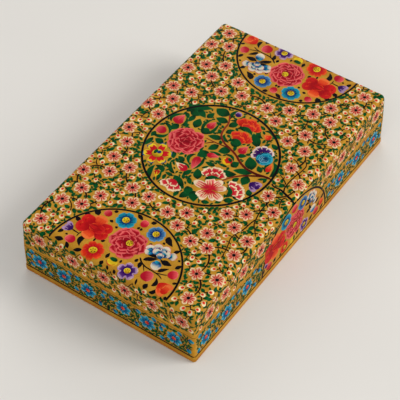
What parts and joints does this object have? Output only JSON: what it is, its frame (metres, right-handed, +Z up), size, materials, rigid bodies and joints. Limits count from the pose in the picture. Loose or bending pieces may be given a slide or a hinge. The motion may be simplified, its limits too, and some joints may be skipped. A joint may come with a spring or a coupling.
{
  "type": "papier mache box with lift-off lid",
  "caption": "Flat rectangular papier mache box with softly rounded edges, a deep lift-off lid on locating strips and painted floral decoration under varnish.",
  "frame": {"origin": "centre of the underside, on the surface the box stands on", "axes": "+X along the box's length, +Y towards its back long side, +Z up; the front long side faces -Y"},
  "size_m": [0.1788, 0.1036, 0.036],
  "materials": {
    "painted_lid": "gold ground painted with flowers under semi-gloss varnish, dark lacquer inside",
    "painted_base": "gold ground painted with flowers under semi-gloss varnish, dark lacquer inside and below",
    "rim_lacquer": "dark lacquer, semi-gloss"
  },
  "bodies": {
    "base": {"bottom_board": "painted_base", "base_front_wall": "painted_base", "base_back_wall": "painted_base", "base_left_wall": "painted_base", "base_right_wall": "painted_base", "rim_front_strip": "rim_lacquer", "rim_back_strip": "rim_lacquer", "rim_left_strip": "rim_lacquer", "rim_right_strip": "rim_lacquer"},
    "lid": {"lid_top_panel": "painted_lid", "lid_front_wall": "painted_lid", "lid_back_wall": "painted_lid", "lid_left_wall": "painted_lid", "lid_right_wall": "painted_lid"}
  },
  "joints": [
    {"name": "lid_lift", "type": "slide", "parent": "base", "child": "lid", "axis": [0, 0, 1], "range_m": [0, 0.09]}
  ]
}
